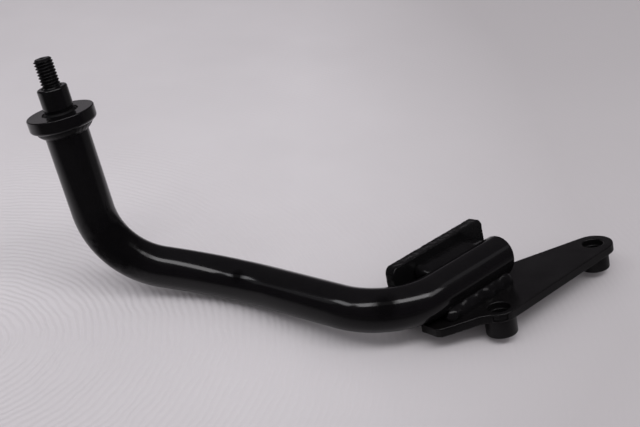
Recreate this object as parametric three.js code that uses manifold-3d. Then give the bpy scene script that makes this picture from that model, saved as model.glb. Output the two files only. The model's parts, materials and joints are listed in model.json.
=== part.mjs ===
// Motorcycle kickstand: a bent tube leg with a swivel stud at its upper end and a welded foot
// bracket at its lower end. Millimetres, +Z up. The leg lies as it rests on a bench: the bosses
// of the foot bracket and the low part of the tube touch z = 0, and the origin is the centre of
// the bounding box's bottom.
import * as THREE from "three";
import { mergeVertices } from "three/addons/utils/BufferGeometryUtils.js";
import Module from "manifold-3d";

const wasm = await Module();
wasm.setup();

// ---------------------------------------------------------------- shared dimensions
const ORIGIN_SHIFT = [-7.4731, 90.2675, 0.8348]; // moves the bench layout onto the part's origin
const GAP = 0.3; // clearance between separate pieces
const TURNED_SEGMENTS = 28;

const TUBE = { radius: 11.1, boreRadius: 8.6 }; // 7/8 in tube
const TUBE_POINTS = [
  [-128.05, -67.8, 93.5], // under the pivot flange
  [-111.31, -78.84, 20.11], // lower bend of the pivot leg
  [-50.18, -78.63, 8.86], // long slight bend
  [35.41, -132.83, 20.42], // bend in front of the foot bracket
  [96.1, -75.56, 20.76], // open end over the foot bracket, before its slanting cut
].map((point) => new THREE.Vector3(...point));
const TUBE_BEND_RADII = [43.3, 93.8, 38.5];

// Slanting cut of the open end: setback from the last tube point to the middle of the cut.
const END_CUT = { setback: 3.1, degrees: 11, block: [20, 40, 60] };

// ---------------------------------------------------------------- materials
const gloss = (look) => new THREE.MeshStandardMaterial({ ...look, metalness: 0.1 });
const steel = (look) => new THREE.MeshStandardMaterial({ ...look, metalness: 0.9 });
const tubePaint = () => gloss({ color: 0x0c0c0d, roughness: 0.2 });
const platePaint = () => gloss({ color: 0x1b1b1c, roughness: 0.5 });
const weldPaint = () => gloss({ color: 0x111112, roughness: 0.32 });

// ---------------------------------------------------------------- solids
// Manifold needs shared corners, so everything but position goes and equal vertices are merged.
function solid(geometry) {
  const bare = geometry.index ? geometry.toNonIndexed() : geometry.clone();
  for (const name of Object.keys(bare.attributes)) {
    if (name !== "position") bare.deleteAttribute(name);
  }
  const merged = mergeVertices(bare, 1e-3);
  return new wasm.Manifold(
    new wasm.Mesh({
      numProp: 3,
      vertProperties: merged.attributes.position.array,
      triVerts: new Uint32Array(merged.index.array),
    }),
  );
}

function geometryOf(manifold) {
  const { vertProperties, triVerts } = manifold.getMesh();
  const geometry = new THREE.BufferGeometry();
  geometry.setAttribute("position", new THREE.BufferAttribute(vertProperties, 3));
  geometry.setIndex(new THREE.BufferAttribute(triVerts, 1));
  geometry.computeVertexNormals();
  return geometry;
}

const cut = (geometry, ...tools) =>
  geometryOf(tools.reduce((body, tool) => body.subtract(solid(tool)), solid(geometry)));

// ---------------------------------------------------------------- outlines, as [x, y] pairs
const toVectors = (pairs) => pairs.map(([x, y]) => new THREE.Vector2(x, y));

const circle = (radius, segments, [x, y] = [0, 0]) =>
  Array.from({ length: segments }, (_, i) => {
    const angle = (2 * Math.PI * i) / segments;
    return [x + radius * Math.cos(angle), y + radius * Math.sin(angle)];
  });

// Arc between two angles in degrees, both ends included.
const arc = ([x, y], radius, from, to, steps) =>
  Array.from({ length: steps + 1 }, (_, i) => {
    const angle = THREE.MathUtils.degToRad(from + ((to - from) * i) / steps);
    return [x + radius * Math.cos(angle), y + radius * Math.sin(angle)];
  });

function shapeOf(outline, ...holes) {
  const shape = new THREE.Shape(toVectors(outline));
  shape.holes.push(...holes.map((hole) => new THREE.Path(toVectors(hole))));
  return shape;
}

// ---------------------------------------------------------------- bodies
const extruded = (shape, options) =>
  new THREE.ExtrudeGeometry(shape, { bevelEnabled: false, ...options });

// A plate from z = 0 to its thickness, chamfered within its outline.
const chamferedPlate = (shape, thickness, chamfer, options) =>
  new THREE.ExtrudeGeometry(shape, {
    depth: thickness - 2 * chamfer,
    bevelEnabled: true,
    bevelThickness: chamfer,
    bevelSize: chamfer,
    bevelOffset: -chamfer,
    bevelSegments: 1,
    ...options,
  }).translate(0, 0, chamfer);

// A body turned about +Z from a list of [radius, z], running up the outside.
const turned = (profile, segments = TURNED_SEGMENTS) =>
  new THREE.LatheGeometry(toVectors(profile), segments).rotateX(Math.PI / 2);

// The same with a bore: the profile is closed back to its first point.
const turnedRing = (profile, segments) => turned([...profile, profile[0]], segments);

// A plain ring between two radii and two heights, chamfered on its outer edges.
const ring = (inner, outer, low, high, chamfer, segments) =>
  turnedRing(
    [
      [inner, low],
      [outer - chamfer, low],
      [outer, low + chamfer],
      [outer, high - chamfer],
      [outer - chamfer, high],
      [inner, high],
    ],
    segments,
  );

// ---------------------------------------------------------------- frames and scene graph
// Unit vector nearest to the given one that is square to a unit axis.
const squareTo = (axis, vector) =>
  vector.clone().addScaledVector(axis, -vector.dot(axis)).normalize();

const frame = (xAxis, zAxis) =>
  new THREE.Matrix4().makeBasis(xAxis, zAxis.clone().cross(xAxis), zAxis);

function mesh(name, geometry, material, parent) {
  const piece = new THREE.Mesh(geometry, material);
  piece.name = name;
  parent.add(piece);
  return piece;
}

const kickstand = new THREE.Group();
const bench = new THREE.Group();
bench.position.set(...ORIGIN_SHIFT);
kickstand.add(bench);

const pivotAxis = TUBE_POINTS[0].clone().sub(TUBE_POINTS[1]).normalize();

// Frame of the open end: +X out of the tube, +Z up across it.
const endAxis = TUBE_POINTS[4].clone().sub(TUBE_POINTS[3]).normalize();
const endUp = squareTo(endAxis, new THREE.Vector3(0, 0, 1));
const endFrame = frame(endAxis, endUp).setPosition(TUBE_POINTS[4]);

// ---------------------------------------------------------------- tube leg
class ArcPiece extends THREE.Curve {
  constructor(centre, from, to) {
    super();
    this.centre = centre;
    this.from = from.clone().sub(centre);
    this.to = to.clone().sub(centre);
    this.angle = this.from.angleTo(this.to);
  }
  getPoint(t, target = new THREE.Vector3()) {
    const sine = Math.sin(this.angle);
    return target
      .copy(this.centre)
      .addScaledVector(this.from, Math.sin((1 - t) * this.angle) / sine)
      .addScaledVector(this.to, Math.sin(t * this.angle) / sine);
  }
}

// A path of straight pieces joined by arcs of the given bend radii.
function bentPath(points, radii) {
  const path = new THREE.CurvePath();
  let last = points[0];
  radii.forEach((radius, i) => {
    const corner = points[i + 1];
    const back = points[i].clone().sub(corner).normalize();
    const onward = points[i + 2].clone().sub(corner).normalize();
    const halfAngle = back.angleTo(onward) / 2;
    const setback = radius / Math.tan(halfAngle);
    const start = corner.clone().addScaledVector(back, setback);
    const end = corner.clone().addScaledVector(onward, setback);
    const middle = back.clone().add(onward).normalize();
    const centre = corner.clone().addScaledVector(middle, radius / Math.sin(halfAngle));
    path.add(new THREE.LineCurve3(last, start));
    path.add(new ArcPiece(centre, start, end));
    last = end;
  });
  path.add(new THREE.LineCurve3(last, points[points.length - 1]));
  return path;
}

function legTube() {
  const top = TUBE_POINTS[0].clone().addScaledVector(pivotAxis, -GAP);
  const section = shapeOf(circle(TUBE.radius, 28), circle(TUBE.boreRadius, 18));
  const tube = extruded(section, {
    steps: 44,
    extrudePath: bentPath([top, ...TUBE_POINTS.slice(1)], TUBE_BEND_RADII),
  });
  const block = new THREE.BoxGeometry(...END_CUT.block)
    .translate(END_CUT.block[0] / 2, 0, 0)
    .rotateY(THREE.MathUtils.degToRad(END_CUT.degrees))
    .translate(-END_CUT.setback, 0, 0)
    .applyMatrix4(endFrame);
  mesh("leg_tube", cut(tube, block), tubePaint(), bench);
}
legTube();

// ---------------------------------------------------------------- pivot end
// Heights run along the pivot axis (+Z of this group) from the top face of the flange disc.
const DISC = {
  radius: 17.1,
  thickness: 7,
  boreRadius: 6.8,
  recessRadius: 9.2,
  recessDepth: 0.8,
};
const UNDERSIDE = -DISC.thickness;
const RECESS_FLOOR = -DISC.recessDepth;
const INNER_RADIUS = 5.05; // bore of every ring that sits on the shank

const SEAL = { radius: 8.5, top: 0.6, chamfer: 0.25 };
const COLLAR = { radius: 7.6, bottom: 0.9, top: 12.9, chamfer: 0.3 };
const BUSH = { radius: 6.5, flangeRadius: 8.2, bottom: UNDERSIDE - 1.8 };
const STUD = {
  radius: 4.75, // 3/8 in shank
  top: 27.6,
  bottom: -47.5,
  chamfer: 0.8,
  segments: 20,
};
const THREAD = {
  pitch: 1.5875, // 16 threads per inch
  depth: 0.85,
  count: 9,
  crest: [0.7, 0.9], // start and end of each crest above its groove
  topMargin: 0.5, // from the last groove to the stud's top
  topTaper: 0.3, // narrowing over that margin
};
const THRUST_WASHER = { radius: 8.2, low: UNDERSIDE - 3.2, high: UNDERSIDE - 2.1, chamfer: 0.2 };
const WAVE_WASHER = {
  radius: 7.8,
  low: UNDERSIDE - 4.55,
  high: UNDERSIDE - 4.05,
  chamfer: 0.1,
  waves: 3,
  waveHeight: 0.28,
};
const NUT = { acrossFlats: 14.3, height: 5.6, bottom: UNDERSIDE - 10.9 };
const STOP_RING = { inner: 5.4, outer: 8.3, low: -26.2, high: -18.2, chamfer: 0.3 };
const STOP_PIN = { radius: 1.2, length: 15.2, z: -20.6 };
const STOP_WINDOW = {
  swing: 80, // degrees of travel
  margin: 17, // degrees beyond the travel at each end
  inner: 3.5, // radii of the cutting tool, beyond both walls of the ring
  outer: 9.6,
  height: 6,
  steps: 12,
};
const SPRING = { radius: 6.75, wireRadius: 0.7, turns: 5.5, top: -28.6, bottom: -42.6 };
const ANCHOR_WASHER = { radius: 8.0, low: -45.6, high: -44.0, chamfer: 0.25 };

const pivot = new THREE.Group();
pivot.position.copy(TUBE_POINTS[0]).addScaledVector(pivotAxis, DISC.thickness);
pivot.quaternion.setFromRotationMatrix(
  frame(squareTo(pivotAxis, new THREE.Vector3(1, 0, 0)), pivotAxis),
);
bench.add(pivot);

// A washer on the shank, from its dimensions above.
const washer = ({ radius, low, high, chamfer }, segments) =>
  ring(INNER_RADIUS, radius, low, high, chamfer, segments);

function flangeDisc() {
  const profile = [
    [DISC.boreRadius, UNDERSIDE],
    [DISC.radius - 2.2, UNDERSIDE], // eased lower edge
    [DISC.radius - 0.7, UNDERSIDE + 0.5],
    [DISC.radius, UNDERSIDE + 1.8],
    [DISC.radius, -0.6], // chamfered upper edge
    [DISC.radius - 0.6, 0],
    [DISC.recessRadius, 0],
    [DISC.recessRadius, RECESS_FLOOR],
    [DISC.boreRadius, RECESS_FLOOR],
  ];
  mesh("flange_disc", turnedRing(profile, 36), tubePaint(), pivot);
}

// Fillet between the tube and the underside of the disc.
function discWeld() {
  const profile = [
    [TUBE.radius + GAP, UNDERSIDE - 4.2],
    [TUBE.radius + 1.7, UNDERSIDE - 3.0],
    [TUBE.radius + 2.9, UNDERSIDE - 1.5],
    [TUBE.radius + 3.4, UNDERSIDE - GAP],
    [TUBE.radius + GAP, UNDERSIDE - GAP],
  ];
  mesh("disc_weld", turnedRing(profile, 32), weldPaint(), pivot);
}

function flangeBush() {
  const profile = [
    [INNER_RADIUS, BUSH.bottom],
    [BUSH.flangeRadius, BUSH.bottom],
    [BUSH.flangeRadius, UNDERSIDE - GAP],
    [BUSH.radius, UNDERSIDE - GAP],
    [BUSH.radius, RECESS_FLOOR],
    [INNER_RADIUS, RECESS_FLOOR],
  ];
  const material = steel({ color: 0x9a7b3c, roughness: 0.45 });
  mesh("flange_bush", turnedRing(profile), material, pivot);
}

function collarSeal() {
  const geometry = washer({ ...SEAL, low: RECESS_FLOOR + GAP, high: SEAL.top });
  mesh("collar_seal", geometry, gloss({ color: 0x161616, roughness: 0.75 }), pivot);
}

function pivotCollar() {
  const profile = [
    [INNER_RADIUS, COLLAR.bottom],
    [COLLAR.radius - COLLAR.chamfer, COLLAR.bottom],
    [COLLAR.radius, COLLAR.bottom + COLLAR.chamfer],
    [COLLAR.radius, COLLAR.top - 1.0], // rounded upper edge
    [COLLAR.radius - 0.35, COLLAR.top - 0.3],
    [COLLAR.radius - 1.0, COLLAR.top],
    [INNER_RADIUS, COLLAR.top],
  ];
  mesh("pivot_collar", turnedRing(profile), tubePaint(), pivot);
}

// A rod along X through the pivot axis, at the height of the stop pin.
const crossRod = (radius, length) =>
  new THREE.CylinderGeometry(radius, radius, length, 16)
    .rotateZ(Math.PI / 2)
    .translate(0, 0, STOP_PIN.z);

// Shank, ring-grooved thread and a cross hole for the stop pin.
function pivotStud() {
  const grooveRadius = STUD.radius - THREAD.depth;
  let z = STUD.top - THREAD.topMargin - THREAD.count * THREAD.pitch;
  const profile = [
    [0, STUD.bottom],
    [STUD.radius - STUD.chamfer, STUD.bottom],
    [STUD.radius, STUD.bottom + STUD.chamfer],
    [STUD.radius, COLLAR.top + 0.4], // the shank ends just above the collar
    [grooveRadius, z],
  ];
  for (let i = 0; i < THREAD.count; i++) {
    for (const rise of THREAD.crest) profile.push([STUD.radius, z + rise]);
    z += THREAD.pitch;
    profile.push([grooveRadius, z]);
  }
  profile.push([grooveRadius - THREAD.topTaper, STUD.top], [0, STUD.top]);
  const geometry = cut(turned(profile, STUD.segments), crossRod(STOP_PIN.radius + GAP, 14));
  mesh("pivot_stud", geometry, gloss({ color: 0x121213, roughness: 0.38 }), pivot);
}

function thrustWasher() {
  const material = steel({ color: 0x8c8f92, roughness: 0.35 });
  mesh("thrust_washer", washer(THRUST_WASHER), material, pivot);
}

// Shallow waves run round the ring.
function waveWasher() {
  const { waves, waveHeight } = WAVE_WASHER;
  const geometry = washer(WAVE_WASHER, 36);
  const position = geometry.attributes.position;
  for (let i = 0; i < position.count; i++) {
    const angle = Math.atan2(position.getY(i), position.getX(i));
    position.setZ(i, position.getZ(i) + waveHeight * Math.sin(waves * angle));
  }
  mesh("wave_washer", geometry, steel({ color: 0x7d8083, roughness: 0.3 }), pivot);
}

function retainingNut() {
  const hexagon = circle(NUT.acrossFlats / Math.sqrt(3), 6);
  const geometry = extruded(shapeOf(hexagon, circle(INNER_RADIUS, 24)), { depth: NUT.height });
  geometry.translate(0, 0, NUT.bottom);
  mesh("retaining_nut", geometry, steel({ color: 0x85888b, roughness: 0.35 }), pivot);
}

// A ring with two opposite windows, open at the top, in which the ends of the stop pin travel.
// Each window runs anticlockwise from the pin, seen from +Z.
function stopRing() {
  const { swing, margin, inner, outer, height, steps } = STOP_WINDOW;
  const windowTool = (pinAngle) => {
    const side = (radius) =>
      arc([0, 0], radius, pinAngle - margin, pinAngle + swing + margin, steps);
    const [first, ...rest] = side(inner);
    const outline = [first, ...side(outer), ...rest.reverse()];
    return extruded(shapeOf(outline), { depth: height })
      .translate(0, 0, STOP_PIN.z - STOP_PIN.radius - GAP);
  };
  const { low, high, chamfer } = STOP_RING;
  const body = ring(STOP_RING.inner, STOP_RING.outer, low, high, chamfer, 36);
  const geometry = cut(body, windowTool(0), windowTool(180));
  mesh("stop_ring", geometry, steel({ color: 0x6f7275, roughness: 0.45 }), pivot);
}

function stopPin() {
  const geometry = crossRod(STOP_PIN.radius, STOP_PIN.length);
  mesh("stop_pin", geometry, steel({ color: 0x9a9da0, roughness: 0.3 }), pivot);
}

class Coil extends THREE.Curve {
  getPoint(t, target = new THREE.Vector3()) {
    const angle = 2 * Math.PI * SPRING.turns * t;
    return target.set(
      SPRING.radius * Math.cos(angle),
      SPRING.radius * Math.sin(angle),
      SPRING.bottom + (SPRING.top - SPRING.bottom) * t,
    );
  }
}

// A torsion coil round the lower end of the stud.
function returnSpring() {
  const wire = shapeOf(circle(SPRING.wireRadius, 6));
  const geometry = extruded(wire, { steps: 76, extrudePath: new Coil() });
  mesh("return_spring", geometry, steel({ color: 0x5f6265, roughness: 0.35 }), pivot);
}

function springAnchorWasher() {
  const material = steel({ color: 0x7d8083, roughness: 0.35 });
  mesh("spring_anchor_washer", washer(ANCHOR_WASHER), material, pivot);
}

flangeDisc();
discWeld();
flangeBush();
collarSeal();
pivotCollar();
pivotStud();
thrustWasher();
waveWasher();
retainingNut();
stopRing();
stopPin();
returnSpring();
springAnchorWasher();

// ---------------------------------------------------------------- foot bracket
// In this group +X runs along the tube end, +Y towards the back flange, and +Z out of the
// plate's top face, which is z = 0. The far hole lies beyond the tube's open end.
const FOOT_ORIGIN = [95.497, -80.61, 9.813];
const FOOT_X = new THREE.Vector3(0.72725, 0.68636, 0.00398);
const FOOT_Z = new THREE.Vector3(-0.19242, 0.19831, 0.96107).normalize();

const PLATE = { thickness: 4.76, chamfer: 0.4, holeRadius: 5.7 }; // 3/16 in plate
const NEAR = { hole: [-28.4, -22.0], lobeRadius: 8.9, bossRadius: 8.1, bossBottom: -14.2 };
const FAR = { hole: [55.4, -20.9], lobeRadius: 10.9, bossRadius: 8.0, bossBottom: -14.6 };
const BOSS = { boreRadius: 4.2, chamfer: 0.8, spigotTop: -3.0 };
// Shallow pocket in the near lobe's edge, at an angle in degrees round the hole.
const RELIEF = { degrees: 222, width: 8.2, depth: 0.6, low: -4.0, high: -0.95, toolLength: 4 };
const FLANGE = {
  front: 14.8, // y of the face towards the tube
  thickness: 6.35,
  chamfer: 0.5,
  low: GAP,
  start: -60.8, // x of the two ends
  end: 9.0,
  startTop: 27.4,
  endTop: 28.3,
  cornerRadius: 4,
};

const foot = new THREE.Group();
foot.position.set(...FOOT_ORIGIN);
foot.quaternion.setFromRotationMatrix(frame(squareTo(FOOT_Z, FOOT_X), FOOT_Z));
bench.add(foot);

// [x, y] round the base plate: two round lobes joined by a long straight front edge, a sloping
// back edge, then a tab under the flange and the edge back to the near lobe.
const PLATE_OUTLINE = [
  ...arc(NEAR.hole, NEAR.lobeRadius, 195, 270, 8),
  ...arc(FAR.hole, FAR.lobeRadius, 270, 429.5, 16),
  [10.6, 7.5], [9.2, 9.0], [9.2, 20.6], [8.2, 21.6],
  [-54.4, 21.6], [-56.0, 19.8], [-56.4, 12.0], [-60.4, 2.0],
  [-61.2, -8.6], [-60.2, -11.2], [-58.0, -12.4], [-50.5, -16.2], [-41.5, -20.2],
];

function basePlate() {
  const holes = [NEAR, FAR].map(({ hole }) => circle(PLATE.holeRadius, 32, hole));
  const plate = chamferedPlate(
    shapeOf(PLATE_OUTLINE, ...holes),
    PLATE.thickness,
    PLATE.chamfer,
  ).translate(0, 0, -PLATE.thickness);
  const { degrees, width, depth, low, high, toolLength } = RELIEF;
  const pocket = new THREE.BoxGeometry(toolLength, width, high - low)
    .translate(NEAR.lobeRadius - depth + toolLength / 2, 0, (high + low) / 2)
    .rotateZ(THREE.MathUtils.degToRad(degrees))
    .translate(...NEAR.hole, 0);
  mesh("base_plate", cut(plate, pocket), platePaint(), foot);
}

// Spacer boss pressed into a hole from below, with a spigot that stops short of the top face.
function boss(name, { hole, bossRadius, bossBottom }) {
  const profile = [
    [BOSS.boreRadius, bossBottom],
    [bossRadius - BOSS.chamfer, bossBottom],
    [bossRadius, bossBottom + BOSS.chamfer],
    [bossRadius, -PLATE.thickness - GAP],
    [PLATE.holeRadius - GAP, -PLATE.thickness - GAP],
    [PLATE.holeRadius - GAP, BOSS.spigotTop],
    [BOSS.boreRadius, BOSS.spigotTop],
  ];
  mesh(name, turnedRing(profile), platePaint(), foot).position.set(...hole, 0);
}

// Upright plate beside the tube end, with rounded upper corners.
function backFlange() {
  const { start, end, startTop, endTop, low, front, thickness, chamfer } = FLANGE;
  const radius = FLANGE.cornerRadius;
  const shape = new THREE.Shape();
  shape.moveTo(start, low);
  shape.lineTo(end, low);
  shape.lineTo(end, endTop - radius);
  shape.absarc(end - radius, endTop - radius, radius, 0, Math.PI / 2, false);
  shape.lineTo(start + radius, startTop);
  shape.absarc(start + radius, startTop - radius, radius, Math.PI / 2, Math.PI, false);
  // standing the plate up turns its thickness towards -Y, so it is moved back by it
  const geometry = chamferedPlate(shape, thickness, chamfer, { curveSegments: 6 })
    .rotateX(Math.PI / 2)
    .translate(0, front + thickness, 0);
  mesh("back_flange", geometry, weldPaint(), foot);
}

// ---------------------------------------------------------------- weld beads of the bracket
const BEAD = {
  step: 1.7, // nominal length of one extrusion step
  ripplePitch: 3.4,
  ripple: 0.02, // half the loss of size at the bottom of a ripple
  endScale: 0.35, // size of the section at both ends
};

// A [y, z] section extruded along X, tapered at its ends and rippled by scaling about its root.
function bead(name, { section, from, to, root, taper }) {
  const length = to - from;
  const geometry = extruded(shapeOf(section), {
    depth: length,
    steps: Math.round(length / BEAD.step),
  });
  const position = geometry.attributes.position;
  for (let i = 0; i < position.count; i++) {
    const along = position.getZ(i);
    const toEnd = Math.min(along, length - along);
    const tapered = Math.min(1, BEAD.endScale + ((1 - BEAD.endScale) * toEnd) / taper);
    const phase = (2 * Math.PI * along) / BEAD.ripplePitch;
    const scale = tapered * (1 - BEAD.ripple * (1 - Math.cos(phase)));
    position.setXY(
      i,
      root[0] + (position.getX(i) - root[0]) * scale,
      root[1] + (position.getY(i) - root[1]) * scale,
    );
  }
  // (x, y, z) of the extrusion become (y, z, x) of the bracket
  const turn = new THREE.Matrix4().makeBasis(
    new THREE.Vector3(0, 1, 0),
    new THREE.Vector3(0, 0, 1),
    new THREE.Vector3(1, 0, 0),
  );
  geometry.applyMatrix4(turn).translate(from, 0, 0);
  mesh(name, geometry, weldPaint(), foot);
}

// A [y, z] point just off the tube end's surface, at an angle round its axis.
function aroundTube(degrees) {
  const angle = THREE.MathUtils.degToRad(degrees);
  const radius = TUBE.radius + 0.45;
  return [radius * Math.cos(angle), TUBE.radius + GAP + radius * Math.sin(angle)];
}

const FLANGE_SIDE = FLANGE.front - GAP; // y of the beads' faces against the flange
const BEADS = {
  // between the flange and the upper side of the tube
  back_weld: {
    section: [
      aroundTube(22),
      [FLANGE_SIDE, 15.4], [FLANGE_SIDE, 22.9],
      [12.0, 23.6], [9.4, 23.6], [7.2, 22.9],
      ...[60, 50, 41, 32].map(aroundTube),
    ],
    from: -47,
    to: 2,
    root: [FLANGE_SIDE - 1, 20],
    taper: 4,
  },
  // between the plate and the front of the tube
  front_weld: {
    section: [
      [-12.4, GAP], [-5.9, GAP],
      ...[236.5, 226, 215, 207].map(aroundTube),
      [-11.5, 5.3], [-12.5, 3.2], [-12.8, 1.4],
    ],
    from: -50,
    to: -2,
    root: [-10.0, 1.2],
    taper: 6,
  },
  // in the corner of the plate and the flange
  flange_root_weld: {
    section: [
      [FLANGE_SIDE, GAP],
      [FLANGE_SIDE, 4.6],
      [FLANGE.front - 1.8, 3.9],
      [FLANGE.front - 3.4, 2.4],
      [FLANGE.front - 4.4, GAP],
    ],
    from: -56,
    to: 6,
    root: [FLANGE_SIDE - 0.3, GAP + 0.3],
    taper: 5,
  },
};

basePlate();
boss("near_boss", NEAR);
boss("far_boss", FAR);
backFlange();
for (const [name, dimensions] of Object.entries(BEADS)) bead(name, dimensions);

// ---------------------------------------------------------------- tube end plug
// Pressed into the open end of the tube; its [radius, z] profile runs outwards along the tube.
function tubeEndPlug() {
  const sunk = 2.2; // from the middle of the slanting cut to the profile's z = 0
  const profile = [
    [0, -9],
    [TUBE.boreRadius - 0.9, -9],
    [TUBE.boreRadius - 0.4, -8.2],
    [TUBE.boreRadius - 0.4, -0.8],
    [TUBE.boreRadius - 1.2, -0.4],
    [0, -0.4],
  ];
  const geometry = turned(profile)
    .rotateY(Math.PI / 2)
    .translate(-END_CUT.setback - sunk, 0, 0)
    .applyMatrix4(endFrame);
  mesh("tube_end_plug", geometry, gloss({ color: 0x141414, roughness: 0.6 }), bench);
}
tubeEndPlug();

export default kickstand;
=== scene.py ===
# Kickstand: a bent leg tube hung from a pivot stud high at the left (-X), with a foot plate welded
# to its low right end. The camera looks along +Y, so front is -Y. Lengths are millimetres unless
# a comment says otherwise; vertices are written in metres.
import json
import math
from collections import namedtuple

import bmesh
import bpy
import numpy as np
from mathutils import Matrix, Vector, noise
from mathutils.geometry import tessellate_polygon


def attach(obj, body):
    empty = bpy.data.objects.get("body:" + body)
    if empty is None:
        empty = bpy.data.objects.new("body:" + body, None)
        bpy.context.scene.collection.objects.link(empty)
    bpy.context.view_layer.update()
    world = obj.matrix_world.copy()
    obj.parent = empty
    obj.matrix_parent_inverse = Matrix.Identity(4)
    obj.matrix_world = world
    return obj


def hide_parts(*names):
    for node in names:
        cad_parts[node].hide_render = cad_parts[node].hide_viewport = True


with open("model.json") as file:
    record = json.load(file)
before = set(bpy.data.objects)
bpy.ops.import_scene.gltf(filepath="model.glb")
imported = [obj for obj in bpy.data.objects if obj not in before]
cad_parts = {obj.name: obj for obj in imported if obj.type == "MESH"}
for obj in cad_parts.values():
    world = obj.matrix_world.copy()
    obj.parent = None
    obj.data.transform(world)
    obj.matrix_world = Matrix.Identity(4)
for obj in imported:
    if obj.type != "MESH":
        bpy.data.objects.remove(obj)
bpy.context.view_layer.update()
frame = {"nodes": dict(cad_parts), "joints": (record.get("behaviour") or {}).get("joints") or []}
swing = frame["joints"][0]

# ------------------------------------------------------------------ dimensions shared with the design
TUBE_R, TUBE_BORE_R = 11.1, 8.6
TUBE_POINTS = [  # corners of the tube's axis (x, y, z), from the disc to the open end
    (-128.05, -67.8, 93.5),
    (-111.31, -78.84, 20.11),
    (-50.18, -78.63, 8.86),
    (35.41, -132.83, 20.42),
    (96.1, -75.56, 20.76),
]
TUBE_BEND_R = (43.3, 93.8, 38.5)
TUBE_CUT_BACK, TUBE_CUT_DEG = 3.1, 11.0
DISC_R, DISC_T, DISC_BORE_R = 17.1, 7.0, 6.8
DISC_RECESS_R, DISC_RECESS_DEPTH = 9.2, 0.8
COLLAR_R, COLLAR_TOP = 7.6, 12.9
STUD_R, STUD_TOP, STUD_BOTTOM = 4.75, 27.6, -47.5
PITCH, THREAD_DEPTH = 1.5875, 0.9
INNER_R = 5.05  # bore of the parts that sit on the stud
PLATE_ORIGIN = (95.497, -80.61, 9.813)
PLATE_ALONG = (0.72725, 0.68636, 0.00398)
PLATE_NORMAL = (-0.19242, 0.19831, 0.96107)
PLATE_T = 4.76
NEAR_HOLE, FAR_HOLE = (-28.4, -22.0), (55.4, -20.9)
HOLE_R, NEAR_LOBE_R, FAR_LOBE_R = 5.7, 8.9, 10.9
NEAR_BOSS_R, FAR_BOSS_R = 8.1, 8.0
NEAR_BOSS_BOTTOM, FAR_BOSS_BOTTOM = -14.2, -14.6
BOSS_BORE_R, SPIGOT_TOP = 4.2, -3.0
FLANGE_FRONT, FLANGE_T = 14.8, 6.35
FLANGE_LEFT, FLANGE_RIGHT = -60.8, 9.0
FLANGE_TOP_LEFT, FLANGE_TOP_RIGHT = 27.4, 28.3
TUBE_H = TUBE_R + 0.3  # height of the tube's axis above the plate


# ------------------------------------------------------------------ small maths
def unit(v):
    v = np.asarray(v, float)
    return v / np.linalg.norm(v)


def square_to(v, axis):
    """Unit vector nearest v that is square to a unit axis."""
    v = np.asarray(v, float)
    return unit(v - (v @ axis) * axis)


def clamp(value):
    return max(0.0, min(1.0, value))


def smooth(value):
    value = clamp(value)
    return value * value * (3 - 2 * value)


def noise_at(x, y, z):
    """Smooth noise in -1..1."""
    return noise.noise(Vector((x, y, z)))


def around(count):
    """Angles of a full turn, in radians."""
    return [2 * math.pi * k / count for k in range(count)]


def quarter(count):
    """Angles of a quarter turn with both ends, in radians."""
    return [math.pi / 2 * k / count for k in range(count + 1)]


def polar(centre, radius, degrees):
    angle = math.radians(degrees)
    return (centre[0] + radius * math.cos(angle), centre[1] + radius * math.sin(angle))


# ------------------------------------------------------------------ frames: 3x3 columns and origin
def frame_on(axis, across, origin):
    """Frame with Z along a unit axis and X as near across as it can be."""
    x = square_to(across, axis)
    return np.stack([x, np.cross(axis, x), axis], 1), origin


PIVOT_AXIS = unit(swing["axis"])
PIVOT_ORIGIN = np.array(swing["pos_m"], float) * 1000
PIVOT = frame_on(PIVOT_AXIS, (1.0, 0, 0), PIVOT_ORIGIN)
# the tube and plate points are moved by one constant, found from where the pivot is
SHIFT = PIVOT_ORIGIN - (np.array(TUBE_POINTS[0]) + PIVOT_AXIS * DISC_T)
BENCH = (np.eye(3), SHIFT)
# the foot frame: X along the plate, Y to its back, Z up from its top face
FOOT = frame_on(unit(PLATE_NORMAL), PLATE_ALONG, np.array(PLATE_ORIGIN) + SHIFT)
# the open end of the tube: out along its axis, and up across it
TUBE_OUT = unit(np.array(TUBE_POINTS[4]) - np.array(TUBE_POINTS[3]))
TUBE_UP = square_to((0, 0, 1.0), TUBE_OUT)
PLUG_DEPTH = 2.2
TUBE_END = frame_on(
    TUBE_OUT,
    np.cross(TUBE_UP, TUBE_OUT),
    np.array(TUBE_POINTS[4]) - TUBE_OUT * (TUBE_CUT_BACK + PLUG_DEPTH) + SHIFT,
)


# ------------------------------------------------------------------ mesh helpers
def make(name, shape, where, material, body, replaces, sharp=32.0, weighted=False):
    """Builds a piece from (points, faces) in a frame; sharp is an angle in degrees."""
    points, faces = shape
    basis, origin = where
    metres = (np.asarray(points, float) @ basis.T + origin) / 1000.0
    mesh = bpy.data.meshes.new(name)
    mesh.from_pydata([tuple(p) for p in metres], [], faces)
    mesh.update()
    bm = bmesh.new()
    bm.from_mesh(mesh)
    bmesh.ops.remove_doubles(bm, verts=bm.verts, dist=1e-7)
    bmesh.ops.recalc_face_normals(bm, faces=bm.faces)
    if bm.calc_volume(signed=True) < 0:
        bmesh.ops.reverse_faces(bm, faces=bm.faces)
    bm.to_mesh(mesh)
    bm.free()
    mesh.shade_smooth()
    mesh.set_sharp_from_angle(angle=math.radians(sharp))
    mesh.materials.append(material)
    piece = bpy.data.objects.new(name, mesh)
    bpy.context.scene.collection.objects.link(piece)
    if weighted:
        modifier = piece.modifiers.new("weighted normals", "WEIGHTED_NORMAL")
        modifier.keep_sharp = True
        modifier.weight = 80
    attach(piece, body)
    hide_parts(replaces)


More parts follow.
